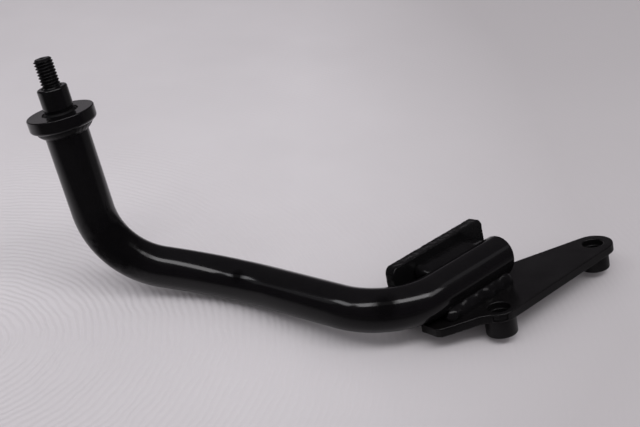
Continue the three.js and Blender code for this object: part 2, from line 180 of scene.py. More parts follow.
def fillet(points, closed=True, seg=6):
    """Rounds the corners of a 2-D outline: each point is (x, y) or (x, y, radius)."""
    out, count = [], len(points)
    for i, p in enumerate(points):
        here = np.array(p[:2], float)
        radius = p[2] if len(p) > 2 else 0.0
        if radius <= 0 or (not closed and i in (0, count - 1)):
            out.append(here)
            continue
        back = np.array(points[i - 1][:2], float) - here
        on = np.array(points[(i + 1) % count][:2], float) - here
        back_length, on_length = np.linalg.norm(back), np.linalg.norm(on)
        back, on = back / back_length, on / on_length
        angle = math.acos(max(-1.0, min(1.0, float(back @ on))))
        if angle > math.pi - 0.02:
            out.append(here)
            continue
        setback = min(radius / math.tan(angle / 2), 0.48 * back_length, 0.48 * on_length)
        radius = setback * math.tan(angle / 2)
        centre = here + unit(back + on) * radius / math.sin(angle / 2)
        first, last = here + back * setback - centre, here + on * setback - centre
        start = math.atan2(first[1], first[0])
        turn = (math.atan2(last[1], last[0]) - start + math.pi) % (2 * math.pi) - math.pi
        for k in range(seg + 1):
            t = start + turn * k / seg
            out.append(centre + radius * np.array([math.cos(t), math.sin(t)]))
    return out


def dense(outline, step):
    """Adds points along the long runs of a closed outline."""
    out = []
    for a, b in zip(outline, outline[1:] + outline[:1]):
        a, b = np.array(a), np.array(b)
        parts = max(1, int(math.ceil(np.linalg.norm(b - a) / step)))
        out += [a + (b - a) * k / parts for k in range(parts)]
    return out


def arc(centre, radius, start, end, count):
    return [polar(centre, radius, start + (end - start) * k / count) for k in range(count + 1)]


def bridge(starts, size, closed):
    """Quads between rings of one size; closed joins the last ring to the first."""
    faces = []
    for i in range(len(starts) if closed else len(starts) - 1):
        a, b = starts[i], starts[(i + 1) % len(starts)]
        for k in range(size):
            m = (k + 1) % size
            faces.append((a + k, a + m, b + m, b + k))
    return faces


def skin(points, size, closed=True):
    """Skins rings of points, joined end to end, or open with a cap on each end."""
    starts = range(0, len(points), size)
    faces = bridge(starts, size, closed)
    if not closed:
        faces.append(tuple(starts[0] + k for k in range(size))[::-1])
        faces.append(tuple(starts[-1] + k for k in range(size)))
    return points, faces


def lathe(profile, segments=96, shape=None):
    """Turns a profile of (r, z) about Z, closed or from axis to axis.

    shape(r, angle, z) -> (r, z) changes single points.
    """
    points, loops, faces = [], [], []
    for r, z in profile:
        pole = abs(r) < 1e-9
        loops.append((pole, len(points)))
        if pole:
            points.append((0.0, 0.0, z))
            continue
        for t in around(segments):
            rr, zz = shape(r, t, z) if shape else (r, z)
            points.append((rr * math.cos(t), rr * math.sin(t), zz))
    pairs = list(zip(loops[:-1], loops[1:]))
    if not loops[0][0]:
        pairs.append((loops[-1], loops[0]))
    for (a_pole, a), (b_pole, b) in pairs:
        for k in range(segments):
            m = (k + 1) % segments
            if a_pole:
                faces.append((a, b + m, b + k))
            elif b_pole:
                faces.append((a + k, a + m, b))
            else:
                faces.append((a + k, a + m, b + m, b + k))
    return points, faces


def plate(outer, holes, low, high, edge, seg, levels, rough, rough_scale, seed, dent=None):
    """A flat plate with rounded edges; outer and holes are dense 2-D outlines.

    levels are heights of extra rings, rough is the depth of the noise in the edge, rough_scale
    the size of its features, and dent(x, y, z) an inward push.
    """
    heights = [  # (z, inset)
        *((low + edge * (1 - math.cos(t)), edge * (1 - math.sin(t))) for t in quarter(seg)),
        *((z, 0.0) for z in levels),
        *((high - edge * (1 - math.sin(t)), edge * (1 - math.cos(t))) for t in quarter(seg)),
    ]
    points, faces, tops, bottoms = [], [], [], []
    for index, loop in enumerate([outer] + list(holes)):
        loop = np.array(loop)
        x, y = loop[:, 0], loop[:, 1]
        area = 0.5 * np.sum(x * np.roll(y, -1) - np.roll(x, -1) * y)
        if area * (1 if index == 0 else -1) < 0:
            loop = loop[::-1]
        normal = 0
        for run in (np.roll(loop, -1, 0) - loop, loop - np.roll(loop, 1, 0)):
            length = np.linalg.norm(run, axis=1, keepdims=True)
            normal = normal + np.stack([run[:, 1], -run[:, 0]], 1) / length
        normal /= np.maximum(np.linalg.norm(normal, axis=1, keepdims=True), 1e-9)
        size = len(loop)
        rings = []
        for z, inset in heights:
            rings.append(len(points))
            for (x, y), out in zip(loop, normal):
                push = inset + rough * noise_at(
                    x / rough_scale + seed, y / rough_scale - seed, z / rough_scale + 2.0 * seed
                )
                if dent:
                    push += dent(x, y, z)
                points.append((x - out[0] * push, y - out[1] * push, z))
        faces += bridge(rings, size, closed=False)
        bottoms.append(range(rings[0], rings[0] + size))
        tops.append(range(rings[-1], rings[-1] + size))
    for loops in (bottoms, tops):
        flat = [i for loop in loops for i in loop]
        polygons = [[Vector((points[i][0], points[i][1], 0)) for i in loop] for loop in loops]
        faces += [tuple(flat[i] for i in tri) for tri in tessellate_polygon(polygons)]
    return points, faces


# ------------------------------------------------------------------ path of the leg tube
# a point on the path: bend is the eased curvature, outward points away from the bend's centre
Row = namedtuple("Row", "point tangent bend outward distance")


def bent_path(corners, radii):
    """Straights and arcs of a path: (start, end, centre or None, length)."""
    corners = [np.array(p, float) for p in corners]
    pieces, last = [], corners[0]
    for before, here, after, radius in zip(corners, corners[1:], corners[2:], radii):
        back, on = unit(before - here), unit(after - here)
        half = math.acos(float(back @ on)) / 2
        setback = radius / math.tan(half)
        start, end = here + back * setback, here + on * setback
        centre = here + unit(back + on) * radius / math.sin(half)
        pieces.append((last, start, None, np.linalg.norm(start - last)))
        pieces.append((start, end, centre, radius * (math.pi - 2 * half)))
        last = end
    pieces.append((last, corners[-1], None, np.linalg.norm(corners[-1] - last)))
    return pieces


def sample_path(pieces, line_step, arc_step):
    """Rows along a path, with the far end last."""
    rows, travelled = [], 0.0
    for start, end, centre, length in pieces:
        step = line_step if centre is None else arc_step
        count = max(2, int(math.ceil(length / step)))
        for k in range(count):
            t = k / count
            distance = travelled + length * t
            if centre is None:
                point = start + (end - start) * t
                rows.append(Row(point, unit(end - start), 0.0, np.zeros(3), distance))
                continue
            u, v = start - centre, end - centre
            angle = math.acos(float(unit(u) @ unit(v)))
            arm = math.sin((1 - t) * angle) * u + math.sin(t * angle) * v
            arm = arm / math.sin(angle)
            tangent = unit(-math.cos((1 - t) * angle) * u + math.cos(t * angle) * v)
            bend = math.sin(math.pi * t) ** 0.6 / np.linalg.norm(u)
            rows.append(Row(centre + arm, tangent, bend, unit(arm), distance))
        travelled += length
    start, end, _, _ = pieces[-1]
    rows.append(Row(end, unit(end - start), 0.0, np.zeros(3), travelled))
    return rows


def ridge_point(distance):
    """Point on the tube's upper front side at a distance along its axis, in metres."""
    rows = sample_path(bent_path(TUBE_POINTS, TUBE_BEND_R), line_step=0.8, arc_step=0.8)
    row = min(rows, key=lambda row: abs(row.distance - distance))
    up = square_to((0, -0.70, 0.71), row.tangent)
    return tuple(float(v) / 1000 for v in row.point + up * TUBE_R + SHIFT)


# where the gloss is dulled: (point, radius in metres, share of the shine that is left)
SMUDGES = [
    (ridge_point(69.0), 0.0180, 0.08),
    (ridge_point(142.6), 0.0034, 0.03),
    (ridge_point(224.2), 0.0063, 0.03),
]


# ------------------------------------------------------------------ shader graphs
class Graph:
    """A node tree; inputs are fed with a socket, a number, a vector or an RGB colour."""

    def __init__(self, tree):
        self.tree = tree
        tree.nodes.clear()

    def feed(self, socket, value):
        if isinstance(value, bpy.types.NodeSocket):
            self.tree.links.new(value, socket)
        else:
            socket.default_value = (*value, 1.0) if socket.type == "RGBA" else value

    def node(self, kind, inputs=None, **settings):
        node = self.tree.nodes.new(kind)
        for key, value in settings.items():
            setattr(node, key, value)
        for key, value in (inputs or {}).items():
            self.feed(node.inputs[key], value)
        return node

    def split(self, vector):
        return self.node("ShaderNodeSeparateXYZ", {0: vector}).outputs

    def ramp(self, value, span=(0.3, 0.7), to=(0.0, 1.0)):
        """Maps a span of values to another, clamped at both ends."""
        limits = {"From Min": span[0], "From Max": span[1], "To Min": to[0], "To Max": to[1]}
        node = self.node("ShaderNodeMapRange", {"Value": value, **limits}, clamp=True)
        return node.outputs["Result"]

    def mix(self, factor, a, b):
        inputs = {0: factor, 6: a, 7: b}
        return self.node("ShaderNodeMix", inputs, data_type="RGBA").outputs[2]


class Surface(Graph):
    """A material with one principled shader."""

    def __init__(self, name):
        self.material = bpy.data.materials.new(name)
        self.material.use_nodes = True
        super().__init__(self.material.node_tree)
        self.shader = self.node("ShaderNodeBsdfPrincipled")
        self.node("ShaderNodeOutputMaterial", {"Surface": self.shader.outputs[0]})
        self.coords = self.node("ShaderNodeTexCoord").outputs["Object"]

    def put(self, name, value):
        self.feed(self.shader.inputs[name], value)

    def noise(self, size_mm, detail=3.0, roughness=0.55):
        inputs = {
            "Vector": self.coords, "Scale": 1000.0 / size_mm,
            "Detail": detail, "Roughness": roughness,
        }
        return self.node("ShaderNodeTexNoise", inputs).outputs["Fac"]

    def math(self, operation, a, b):
        return self.node("ShaderNodeMath", {0: a, 1: b}, operation=operation).outputs[0]

    def times(self, a, b):
        return self.math("MULTIPLY", a, b)

    def plus(self, a, b):
        return self.math("ADD", a, b)

    def vector_value(self, operation, *vectors):
        inputs = dict(enumerate(vectors))
        return self.node("ShaderNodeVectorMath", inputs, operation=operation).outputs["Value"]

    def geometry(self, output):
        return self.node("ShaderNodeNewGeometry").outputs[output]

    def bump(self, height, strength, depth_mm, normal=None):
        inputs = {"Strength": strength, "Distance": depth_mm / 1000.0, "Height": height}
        if normal is not None:
            inputs["Normal"] = normal
        return self.node("ShaderNodeBump", inputs).outputs["Normal"]

    def edges(self, radius_mm):
        """1 on convex and concave edges, 0 on the flats."""
        bevel = self.node("ShaderNodeBevel", {"Radius": radius_mm / 1000.0}, samples=4)
        facing = self.vector_value("DOT_PRODUCT", bevel.outputs[0], self.geometry("Normal"))
        return self.ramp(facing, span=(0.98, 0.75))


def shade(colour, factor):
    return tuple(c * factor for c in colour)


# ------------------------------------------------------------------ materials
def paint(name, base, rough, peel_mm, peel, vary, edge_wear_and_sheen, dust, spec,
          grain=0.0, grain_mm=0.0, smudges=()):
    """Black paint.

    peel and peel_mm are the orange peel's strength and size, grain and grain_mm those of a finer
    bump, vary the spread of roughness, edge_wear_and_sheen how far edges are made lighter, as rubbed
    wear and as a painted highlight, and dust how much lies on faces that look up.
    """
    g = Surface(name)
    tone = g.noise(size_mm=14.0, detail=4.0)
    speck = g.noise(size_mm=0.9, detail=2.0)
    colour = g.mix(g.ramp(tone), shade(base, 0.85), shade(base, 1.2))
    # rubbed wear and painted highlight: patchy edges are made lighter, partly for wear and partly for
    # the sheen that rounded edges catch
    patches = g.noise(size_mm=2.2, detail=5.0, roughness=0.7)
    edge = g.times(g.edges(radius_mm=0.5), g.ramp(patches, span=(0.48, 0.68)))
    colour = g.mix(g.times(edge, edge_wear_and_sheen), colour, (0.10, 0.098, 0.095))
    facing_up = g.ramp(g.split(g.geometry("Normal"))["Z"], span=(0.2, 1.0))
    drifts = g.noise(size_mm=5.0, detail=6.0, roughness=0.7)
    lying = g.times(facing_up, g.ramp(drifts, span=(0.35, 0.75)))
    colour = g.mix(g.times(lying, dust * 0.25), colour, (0.20, 0.195, 0.19))
    g.put("Base Color", colour)

    roughness = g.plus(
        g.ramp(tone, to=(rough - vary, rough + vary)),
        g.ramp(speck, span=(0.45, 0.75), to=(0.0, 0.5 * vary)),
    )
    roughness = g.plus(roughness, g.times(lying, dust))
    g.put("Roughness", g.plus(roughness, g.times(edge, 0.15)))

    g.put("Specular IOR Level", spec)
    shine = None
    for centre, radius, left in smudges:
        far = g.vector_value("DISTANCE", g.coords, centre)
        ragged = g.ramp(g.noise(size_mm=3.0), to=(-0.15 * radius, 0.15 * radius))
        reach = (0.55 * radius, 1.25 * radius)
        kept = g.ramp(g.plus(far, ragged), span=reach, to=(left, 1.0))
        shine = kept if shine is None else g.times(shine, kept)
    if shine is not None:
        g.put("Specular IOR Level", g.times(shine, spec))

    fine = g.noise(size_mm=peel_mm, detail=2.0, roughness=0.4)
    normal = g.bump(fine, strength=peel, depth_mm=0.25)
    broad = g.noise(size_mm=26.0, detail=1.0)
    normal = g.bump(broad, strength=min(1.0, peel * 2.5), depth_mm=0.12, normal=normal)
    if grain:
        grit = g.noise(size_mm=grain_mm, detail=4.0, roughness=0.7)
        normal = g.bump(grit, strength=grain, depth_mm=0.10, normal=normal)
    g.put("Normal", normal)
    return g.material


def metal(name, base, rough, brushed=0.15):
    """Bare metal with darker stains; brushed is the strength of its fine bump."""
    g = Surface(name)
    tone = g.noise(size_mm=6.0, detail=4.0)
    fine = g.noise(size_mm=0.25)
    colour = g.mix(g.ramp(tone), shade(base, 0.8), base)
    stain = g.ramp(g.noise(size_mm=3.0, detail=6.0, roughness=0.75), span=(0.58, 0.8))
    g.put("Base Color", g.mix(g.times(stain, 0.5), colour, shade(base, 0.45)))
    g.put("Metallic", 1.0)
    roughness = g.ramp(fine, to=(rough - 0.08, rough + 0.1))
    g.put("Roughness", g.plus(roughness, g.times(stain, 0.25)))
    g.put("Normal", g.bump(fine, strength=brushed, depth_mm=0.04))
    return g.material


def soft(name, base, rough, grain_mm, grain, spec):
    """Rubber or plastic with a fine grain."""
    g = Surface(name)
    g.put("Specular IOR Level", spec)
    tone = g.noise(size_mm=4.0, detail=4.0)
    g.put("Base Color", g.mix(g.ramp(tone), shade(base, 0.7), shade(base, 1.4)))
    g.put("Roughness", g.ramp(g.noise(size_mm=1.2), to=(rough - 0.1, rough + 0.1)))
    grit = g.noise(size_mm=grain_mm, detail=5.0, roughness=0.65)
    g.put("Normal", g.bump(grit, strength=grain, depth_mm=0.12))
    return g.material


BLACK = (0.0028, 0.0026, 0.0029)
GLOSS = paint(
    "gloss black paint", BLACK, rough=0.115, peel_mm=2.2, peel=0.03,
    vary=0.02, edge_wear_and_sheen=0.15, dust=0.02, spec=0.40, smudges=SMUDGES,
)
DISC_PAINT = paint(
    "disc paint", BLACK, rough=0.12, peel_mm=1.4, peel=0.05,
    vary=0.03, edge_wear_and_sheen=0.25, dust=0.02, spec=0.36,
)
COLLAR_PAINT = paint(
    "collar paint", BLACK, rough=0.15, peel_mm=1.4, peel=0.05,
    vary=0.03, edge_wear_and_sheen=0.3, dust=0.0, spec=0.40,
)
SATIN = paint(
    "satin black paint", (0.0036, 0.0033, 0.0035), rough=0.20, peel_mm=1.3, peel=0.06,
    grain=0.04, grain_mm=0.4, vary=0.04, edge_wear_and_sheen=0.35, dust=0.02, spec=0.26,
)
CUT_EDGE = paint(
    "rough cut flange paint", (0.0036, 0.0035, 0.0038), rough=0.24, peel_mm=1.2, peel=0.2,
    grain=0.16, grain_mm=0.7, vary=0.06, edge_wear_and_sheen=0.5, dust=0.04, spec=0.23,
)
BEAD = paint(
    "painted weld", (0.0036, 0.0034, 0.0037), rough=0.17, peel_mm=0.9, peel=0.10,
    grain=0.07, grain_mm=0.5, vary=0.04, edge_wear_and_sheen=0.25, dust=0.02, spec=0.23,
)
BEAD_DULL = paint(
    "painted disc weld", (0.0034, 0.0032, 0.0035), rough=0.30, peel_mm=0.9, peel=0.10,
    grain=0.07, grain_mm=0.5, vary=0.04, edge_wear_and_sheen=0.2, dust=0.0, spec=0.10,
)
OXIDE = paint(
    "black oxide steel", (0.0030, 0.0028, 0.0032), rough=0.24, peel_mm=0.6, peel=0.08,
    grain=0.1, grain_mm=0.25, vary=0.06, edge_wear_and_sheen=0.3, dust=0.0, spec=0.22,
)
ZINC = metal("zinc plated steel", (0.52, 0.53, 0.54), rough=0.32)
SPRING = metal("oiled spring steel", (0.23, 0.23, 0.24), rough=0.3)
BRONZE = metal("sintered bronze", (0.50, 0.33, 0.14), rough=0.42, brushed=0.35)
RUBBER = soft(
    "black rubber", (0.0040, 0.0038, 0.0040), rough=0.5, grain_mm=0.5, grain=0.3, spec=0.2
)
PLASTIC = soft(
    "black moulded plastic", (0.014, 0.014, 0.015), rough=0.5, grain_mm=0.35, grain=0.2, spec=0.5
)

# ------------------------------------------------------------------ leg tube
# faint grooves round the tube: (distance from the disc, half width, depth)
MARKS = [(141.0, 2.6, 0.04), (223.6, 2.6, 0.06)]
# how far a bend is flattened outside and inside, and widened across, per unit of curvature
FLATTEN_OUTSIDE, FLATTEN_INSIDE, WIDEN = 3.85, 0.84, 1.1
START_OVERLAP = 0.02  # run of the tube into the disc
LEAN_LENGTH = 16.0  # run over which the rings lean to the angle of the cut
LIP_R, BORE_LIP_R = 0.55, 0.3


def leg_tube():
    start, *middle, end = [np.array(p, float) for p in TUBE_POINTS]
    start = start + unit(start - middle[0]) * START_OVERLAP
    path = bent_path([start, *middle, end - TUBE_OUT * TUBE_CUT_BACK], TUBE_BEND_R)
    rows = sample_path(path, line_step=1.6, arc_step=1.25)
    total = rows[-1].distance
    size = 112
    slope = math.tan(math.radians(TUBE_CUT_DEG))
    # parallel transport of one cross direction along the path
    side = unit(np.cross(rows[0].tangent, (0, 1, 0)))
    stations = []
    for row in rows:
        side = square_to(side, row.tangent)
        stations.append((row, side))
    points = []

    def ring(row, side, radius, back=0.0, shaped=True):
        across = np.cross(row.tangent, side)
        lean = slope * smooth(1 - (total - row.distance) / LEAN_LENGTH)
        for a in around(size):
            radial = math.cos(a) * side + math.sin(a) * across
            r = radius
            if shaped:
                c = radial @ row.outward
                flat = FLATTEN_OUTSIDE * max(0.0, c) ** 2 + FLATTEN_INSIDE * max(0.0, -c) ** 2
                r -= row.bend * (flat - WIDEN * (1 - c * c))
                for centre, width, depth in MARKS:
                    r -= depth * math.exp(-(((row.distance - centre) / width) ** 2))
            offset = radial * r - row.tangent * back
            points.append(row.point + offset + row.tangent * lean * (offset @ TUBE_UP))

    for station in stations[:-1]:
        if total - station[0].distance > 0.9:
            ring(*station, TUBE_R)
    for t in quarter(6):
        lip = TUBE_R - LIP_R * (1 - math.cos(t))
        ring(*stations[-1], lip, back=LIP_R * (1 - math.sin(t)))
    for t in quarter(3):
        lip = TUBE_BORE_R + BORE_LIP_R * (1 - math.sin(t))
        ring(*stations[-1], lip, back=BORE_LIP_R * (1 - math.cos(t)), shaped=False)
    # back down the bore with every third ring, ending level with the first
    inner = [s for s in stations[:-1] if total - s[0].distance > 1.5][::-1][::3]
    if inner[-1] is not stations[0]:
        inner.append(stations[0])
    for station in inner:
        ring(*station, TUBE_BORE_R, shaped=False)
    return skin(points, size)


make("leg_tube_painted", leg_tube(), BENCH, GLOSS, "leg", "leg_tube", sharp=40)


# ------------------------------------------------------------------ pivot end
# profiles here are (radius, z, corner radius); z = 0 is the outer face of the disc
def flange_disc():
    profile = [
        (DISC_BORE_R, -DISC_T, 0.2),
        (DISC_R, -DISC_T, 1.7),
        (DISC_R, 0, 0.6),
        (DISC_RECESS_R, 0, 0.25),
        (DISC_RECESS_R, -DISC_RECESS_DEPTH),
        (DISC_BORE_R, -DISC_RECESS_DEPTH, 0.15),
    ]
    return lathe(fillet(profile, seg=7), 144)


def disc_weld():
    """A weld bead round the tube under the disc, with crescent ripples."""
    size, seed, pitch, lift = 420, 3.1, 2.3, 0.12
    root_r, buried_z = TUBE_R - 0.1, -DISC_T + 0.12
    section = []  # (radius, z, share of the ripple)
    for k in range(13):
        u = k / 12
        r = root_r + 4.1 * u ** 0.85
        z = -DISC_T - 4.4 * (1 - u) ** 1.25 + 0.1 * u
        arch = math.sin(math.pi * u)
        bulge = 0.55 * arch
        section.append((r + bulge * 0.6, z - bulge * 0.7, arch ** 0.5))
    section += [(TUBE_R + 2.0, buried_z, 0.0), (root_r, buried_z, 0.0)]
    points = []
    for t in around(size):
        c, s = math.cos(t), math.sin(t)
        uneven = 0.30 * noise_at(c * 1.6 + seed, s * 1.6, seed)
        uneven += 0.10 * noise_at(c * 6, s * 6, seed)
        for r, z, share in section:
            phase = t * (TUBE_R + 2) / pitch - 0.9 * (1 - share)
            tooth = phase - math.floor(phase)
            swell = share * (lift * (1.0 - tooth) ** 0.7 + uneven)
            r += swell * 0.75
            points.append((r * c, r * s, z - swell * 0.65))
    return skin(points, len(section))


def collar_seal():
    def ribbed(r, t, z):
        if r > 7.6:
            r += 0.07 * math.cos(24 * t) + 0.05 * math.sin(5 * t + 1)
            z += 0.05 * math.sin(7 * t)
        return r, z

    profile = [
        (INNER_R, -0.5), (8.45, -0.5, 0.2), (8.45, -0.12, 0.2), (7.75, 0.42, 0.2),
        (7.4, 0.62, 0.1), (7.2, 0.4), (6.9, 0.6, 0.1), (INNER_R, 0.6),
    ]
    return lathe(fillet(profile, seg=4), 168, ribbed)


def pivot_collar():
    bottom, neck_r = 0.7, COLLAR_R - 0.45
    profile = [
        (INNER_R, bottom, 0.1),
        (neck_r, bottom, 0.1),
        (neck_r, 1.75, 0.15),
        (COLLAR_R, 2.1, 0.3),
        (COLLAR_R, COLLAR_TOP, 1.05),
        (INNER_R + 0.35, COLLAR_TOP, 0.2),
        (INNER_R, COLLAR_TOP - 0.5, 0.1),
    ]
    return lathe(fillet(profile), 112)


def stud():
    """Plain shank, then a right-hand thread that starts at the collar and is chamfered on top."""
    top, thread_start = STUD_TOP - 0.05, COLLAR_TOP - 0.4
    root_r = STUD_R - THREAD_DEPTH

    def thread(r, t, z):
        if r < STUD_R or z < thread_start:
            return r, z
        phase = (z / PITCH - t / (2 * math.pi)) % 1.0
        ridge = clamp((abs(phase - 0.5) * 2 - 0.06) / 0.80)  # 1 at the crest, 0 at the root
        cut = STUD_R - THREAD_DEPTH * (1 - ridge)
        fade = clamp((z - thread_start - 0.2) / 1.3)
        neck = STUD_R - 0.62 * math.exp(-(((z - thread_start - 0.9) / 0.8) ** 2))
        r = cut * fade + neck * (1 - fade)
        if fade < 1:
            r = min(neck, r)
        chamfer = root_r - 0.15 + (top - z) * 1.05
        return min(r, chamfer), z

    profile = [  # (radius, z): bottom end, shank, thread, hollow top face
        (0.0, STUD_BOTTOM),
        (STUD_R - 0.9, STUD_BOTTOM),
        (STUD_R - 0.5, STUD_BOTTOM + 0.25),
        (STUD_R, STUD_BOTTOM + 0.9),
        *((STUD_R, z) for z in np.linspace(STUD_BOTTOM + 4, COLLAR_TOP - 0.6, 24)),
        *((STUD_R, z) for z in np.arange(thread_start, top - 0.02, PITCH / 14)),
        (root_r - 0.45, top),
        (root_r - 1.2, top + 0.03),
        (1.6, top),
        (0.9, top - 0.18),
        (0.0, top - 0.5),
    ]
    return lathe(profile, 72, thread)


make(
    "flange_disc_turned", flange_disc(), PIVOT, DISC_PAINT,
    "leg", "flange_disc", weighted=True,
)
make(
    "disc_weld_bead", disc_weld(), PIVOT, BEAD_DULL,
    "leg", "disc_weld", sharp=60,
)
make(
    "collar_seal_ring", collar_seal(), PIVOT, RUBBER,
    "pivot", "collar_seal", sharp=50,
)
make(
    "pivot_collar_turned", pivot_collar(), PIVOT, COLLAR_PAINT,
    "pivot", "pivot_collar", weighted=True,
)
make(
    "pivot_stud_threaded", stud(), PIVOT, OXIDE,
    "pivot", "pivot_stud", sharp=48,
)

# ------------------------------------------------------------------ base plate with its two lobes
# relief in the near lobe's rim: angles in degrees between which it runs, heights and depth
POCKET_START, POCKET_END = 197.0, 250.0
POCKET_LOW, POCKET_HIGH, POCKET_DEPTH = -3.95, -0.95, 0.9
NEAR_RIM_DEGREES = [
    195, 196.9, 197.2, *np.linspace(200, 248, 17), 249.8, 250.1, *np.linspace(253, 270, 6),
]
PLATE_REST = [  # (x, y, corner radius) from the far lobe round the back to the near lobe
    (10.6, 7.5, 0.8), (9.2, 9.0, 0.8), (9.2, 20.6, 0.5), (8.2, 21.6, 0.5),
    (-54.4, 21.6, 1.0), (-56.0, 19.8, 1.0), (-56.4, 12.0, 2.0), (-55.2, 6.4, 3.0),
    (-60.4, 2.0, 1.6), (-61.2, -8.6, 2.0), (-60.2, -11.2, 1.2), (-58.0, -12.4, 1.2),
    (-50.5, -16.2, 6.0), (-41.5, -20.2, 6.0),
]


def base_plate():
    lobes = [polar(NEAR_HOLE, NEAR_LOBE_R, degrees) for degrees in NEAR_RIM_DEGREES]
    lobes += arc(FAR_HOLE, FAR_LOBE_R, 270, 429.5, 40)
    rest = fillet([lobes[-1]] + PLATE_REST + [lobes[0]], closed=False, seg=5)
    outline = dense(lobes + rest[1:-1], 1.5)
    holes = [arc(centre, HOLE_R, 0, 360 * 63 / 64, 63) for centre in (NEAR_HOLE, FAR_HOLE)]

    def pocket(x, y, z):
        dx, dy = x - NEAR_HOLE[0], y - NEAR_HOLE[1]
        on_rim = abs(math.hypot(dx, dy) - NEAR_LOBE_R) <= 0.02
        if not on_rim or not POCKET_LOW < z < POCKET_HIGH:
            return 0.0
        angle = math.degrees(math.atan2(dy, dx)) % 360
        return POCKET_DEPTH if POCKET_START < angle < POCKET_END else 0.0

    return plate(
        outline, holes, low=-PLATE_T, high=0.0, edge=0.55, seg=4,
        levels=(-4.05, -3.97, -3.93, -3.0, -2.0, -1.0, -0.93, -0.85),
        rough=0.05, rough_scale=4.0, seed=1.7, dent=pocket,
    )


def boss(outer, bottom, centre, seed):
    """A turned boss under the plate, with a spigot up into the plate's hole."""
    shoulder, spigot_r = -PLATE_T - 0.02, HOLE_R - 0.04
    profile = [
        (BOSS_BORE_R, bottom, 0.3),
        (outer, bottom, 0.9),
        (outer, shoulder, 0.25),
        (spigot_r, shoulder),
        (spigot_r, SPIGOT_TOP, 0.2),
        (BOSS_BORE_R, SPIGOT_TOP, 0.45),
    ]

    def uneven(r, t, z):
        return r + 0.03 * noise_at(math.cos(t) * 2 + seed, math.sin(t) * 2, z * 0.2), z

    points, faces = lathe(fillet(profile), 96, uneven)
    return [(x + centre[0], y + centre[1], z) for x, y, z in points], faces


def back_flange():
    """An upright plate with rough cut edges along the back of the base plate."""
    low = 0.05
    outline = fillet(
        [
            (FLANGE_LEFT, low, 0.3),
            (FLANGE_RIGHT, low, 0.3),
            (FLANGE_RIGHT, FLANGE_TOP_RIGHT, 4.0),
            (FLANGE_LEFT, FLANGE_TOP_LEFT, 4.0),
        ],
        seg=10,
    )
    points, faces = plate(
        dense(outline, 0.8), [], low=0.0, high=FLANGE_T, edge=0.75, seg=5,
        levels=(1.4, 2.2, 3.1, 4.0, 4.9), rough=0.22, rough_scale=1.9, seed=7.3,
    )
    # stood upright: the plate's z becomes depth behind the front face
    return [(x, FLANGE_FRONT + z, y) for x, y, z in points], faces


near_boss = boss(NEAR_BOSS_R, NEAR_BOSS_BOTTOM, NEAR_HOLE, seed=1.0)
far_boss = boss(FAR_BOSS_R, FAR_BOSS_BOTTOM, FAR_HOLE, seed=4.0)
for name, shape, material, replaced in (
    ("base_plate_cut", base_plate(), SATIN, "base_plate"),
    ("near_boss_turned", near_boss, SATIN, "near_boss"),
    ("far_boss_turned", far_boss, SATIN, "far_boss"),
    ("back_flange_cut", back_flange(), CUT_EDGE, "back_flange"),
):
    make(name, shape, FOOT, material, "leg", replaced, weighted=True)


# ------------------------------------------------------------------ weld beads along the tube end
def bead(section, start, end, seed, pitch, lift=0.13, taper=5.0, knob=0.3, rough=1.0):
    """A bead along the foot frame's X, from start to end.

    section(x) -> (first contact, second contact, crown height, hidden corners, core), with points
    as (y, z). lift is the ripples' height, taper the run of each rounded end, knob the height of
    a swelling near the start, and rough the share of unevenness.
    """
    count = int((end - start) / 0.28)
    across = 18
    points = []
    for i in range(count + 1):
        x = start + (end - start) * i / count
        from_end = min(x - start, end - x)
        close = math.sqrt(max(0.0, 1 - (1 - min(1.0, from_end / taper)) ** 2))
        shrink = 0.12 + 0.88 * close
        first, second, crown, hidden, core = section(x)
        first, second, core = (np.array(v, float) for v in (first, second, core))
        chord = second - first
        out = unit([chord[1], -chord[0]])
        if out @ ((first + second) / 2 - core) < 0:
            out = -out
        uneven = rough * (0.20 * noise_at(x / 4.0, seed, 0.0) + 0.06 * noise_at(x / 1.6, seed, 4.0))
        uneven += knob * math.exp(-(((x - start - 4.2) / 3.2) ** 2))
        outline = []
        for k in range(across + 1):
            u = k / across
            arch = math.sin(math.pi * u) ** 0.75 if 0 < u < 1 else 0.0
            phase = x / pitch + 0.55 * (2 * u - 1) ** 2 + 0.25 * noise_at(x / 9.0, seed, 9.0)
            tooth = phase - math.floor(phase)
            ripple = lift * (tooth ** 0.8 if tooth < 0.8 else (1 - tooth) / 0.2) * arch
            side, layer = (1, 20.0) if u < 0.5 else (-1, 27.0)
            wavy = 0.025 * rough * noise_at(x / 3.0, seed, layer) * (1 - arch)
            height = arch * (crown + uneven) + ripple
            outline.append(first + chord * (u + wavy * side) + out * height)
        for p in outline + hidden:
            y, z = core + (np.array(p, float) - core) * shrink
            points.append((x, y, z))
        size = across + 1 + len(hidden)
    return skin(points, size, closed=False)


def on_tube(degrees, sink):
    """Point (y, z) a little under the tube's skin."""
    return polar((0, TUBE_H), TUBE_R - sink, degrees)


def back_section(x):
    # the bead stands high on the flange along most of its run and drops towards the open end
    fall = smooth((x + 12.0) / 14.0)
    top = 22.9 - 4.6 * fall + 0.35 * noise_at(x / 5.0, 2.0, 3.0)
    angle = 62 - 22 * fall + 3.0 * noise_at(x / 6.0, 8.0, 1.0)
    buried = FLANGE_FRONT + 0.12
    hidden = [on_tube(angle - 14, 0.15), on_tube(20, 0.1), (buried, 14.5)]
    core = (FLANGE_FRONT - 1.6, 18.6 - 1.5 * fall)
    return (buried, top), on_tube(angle, 0.15), 0.75, hidden, core


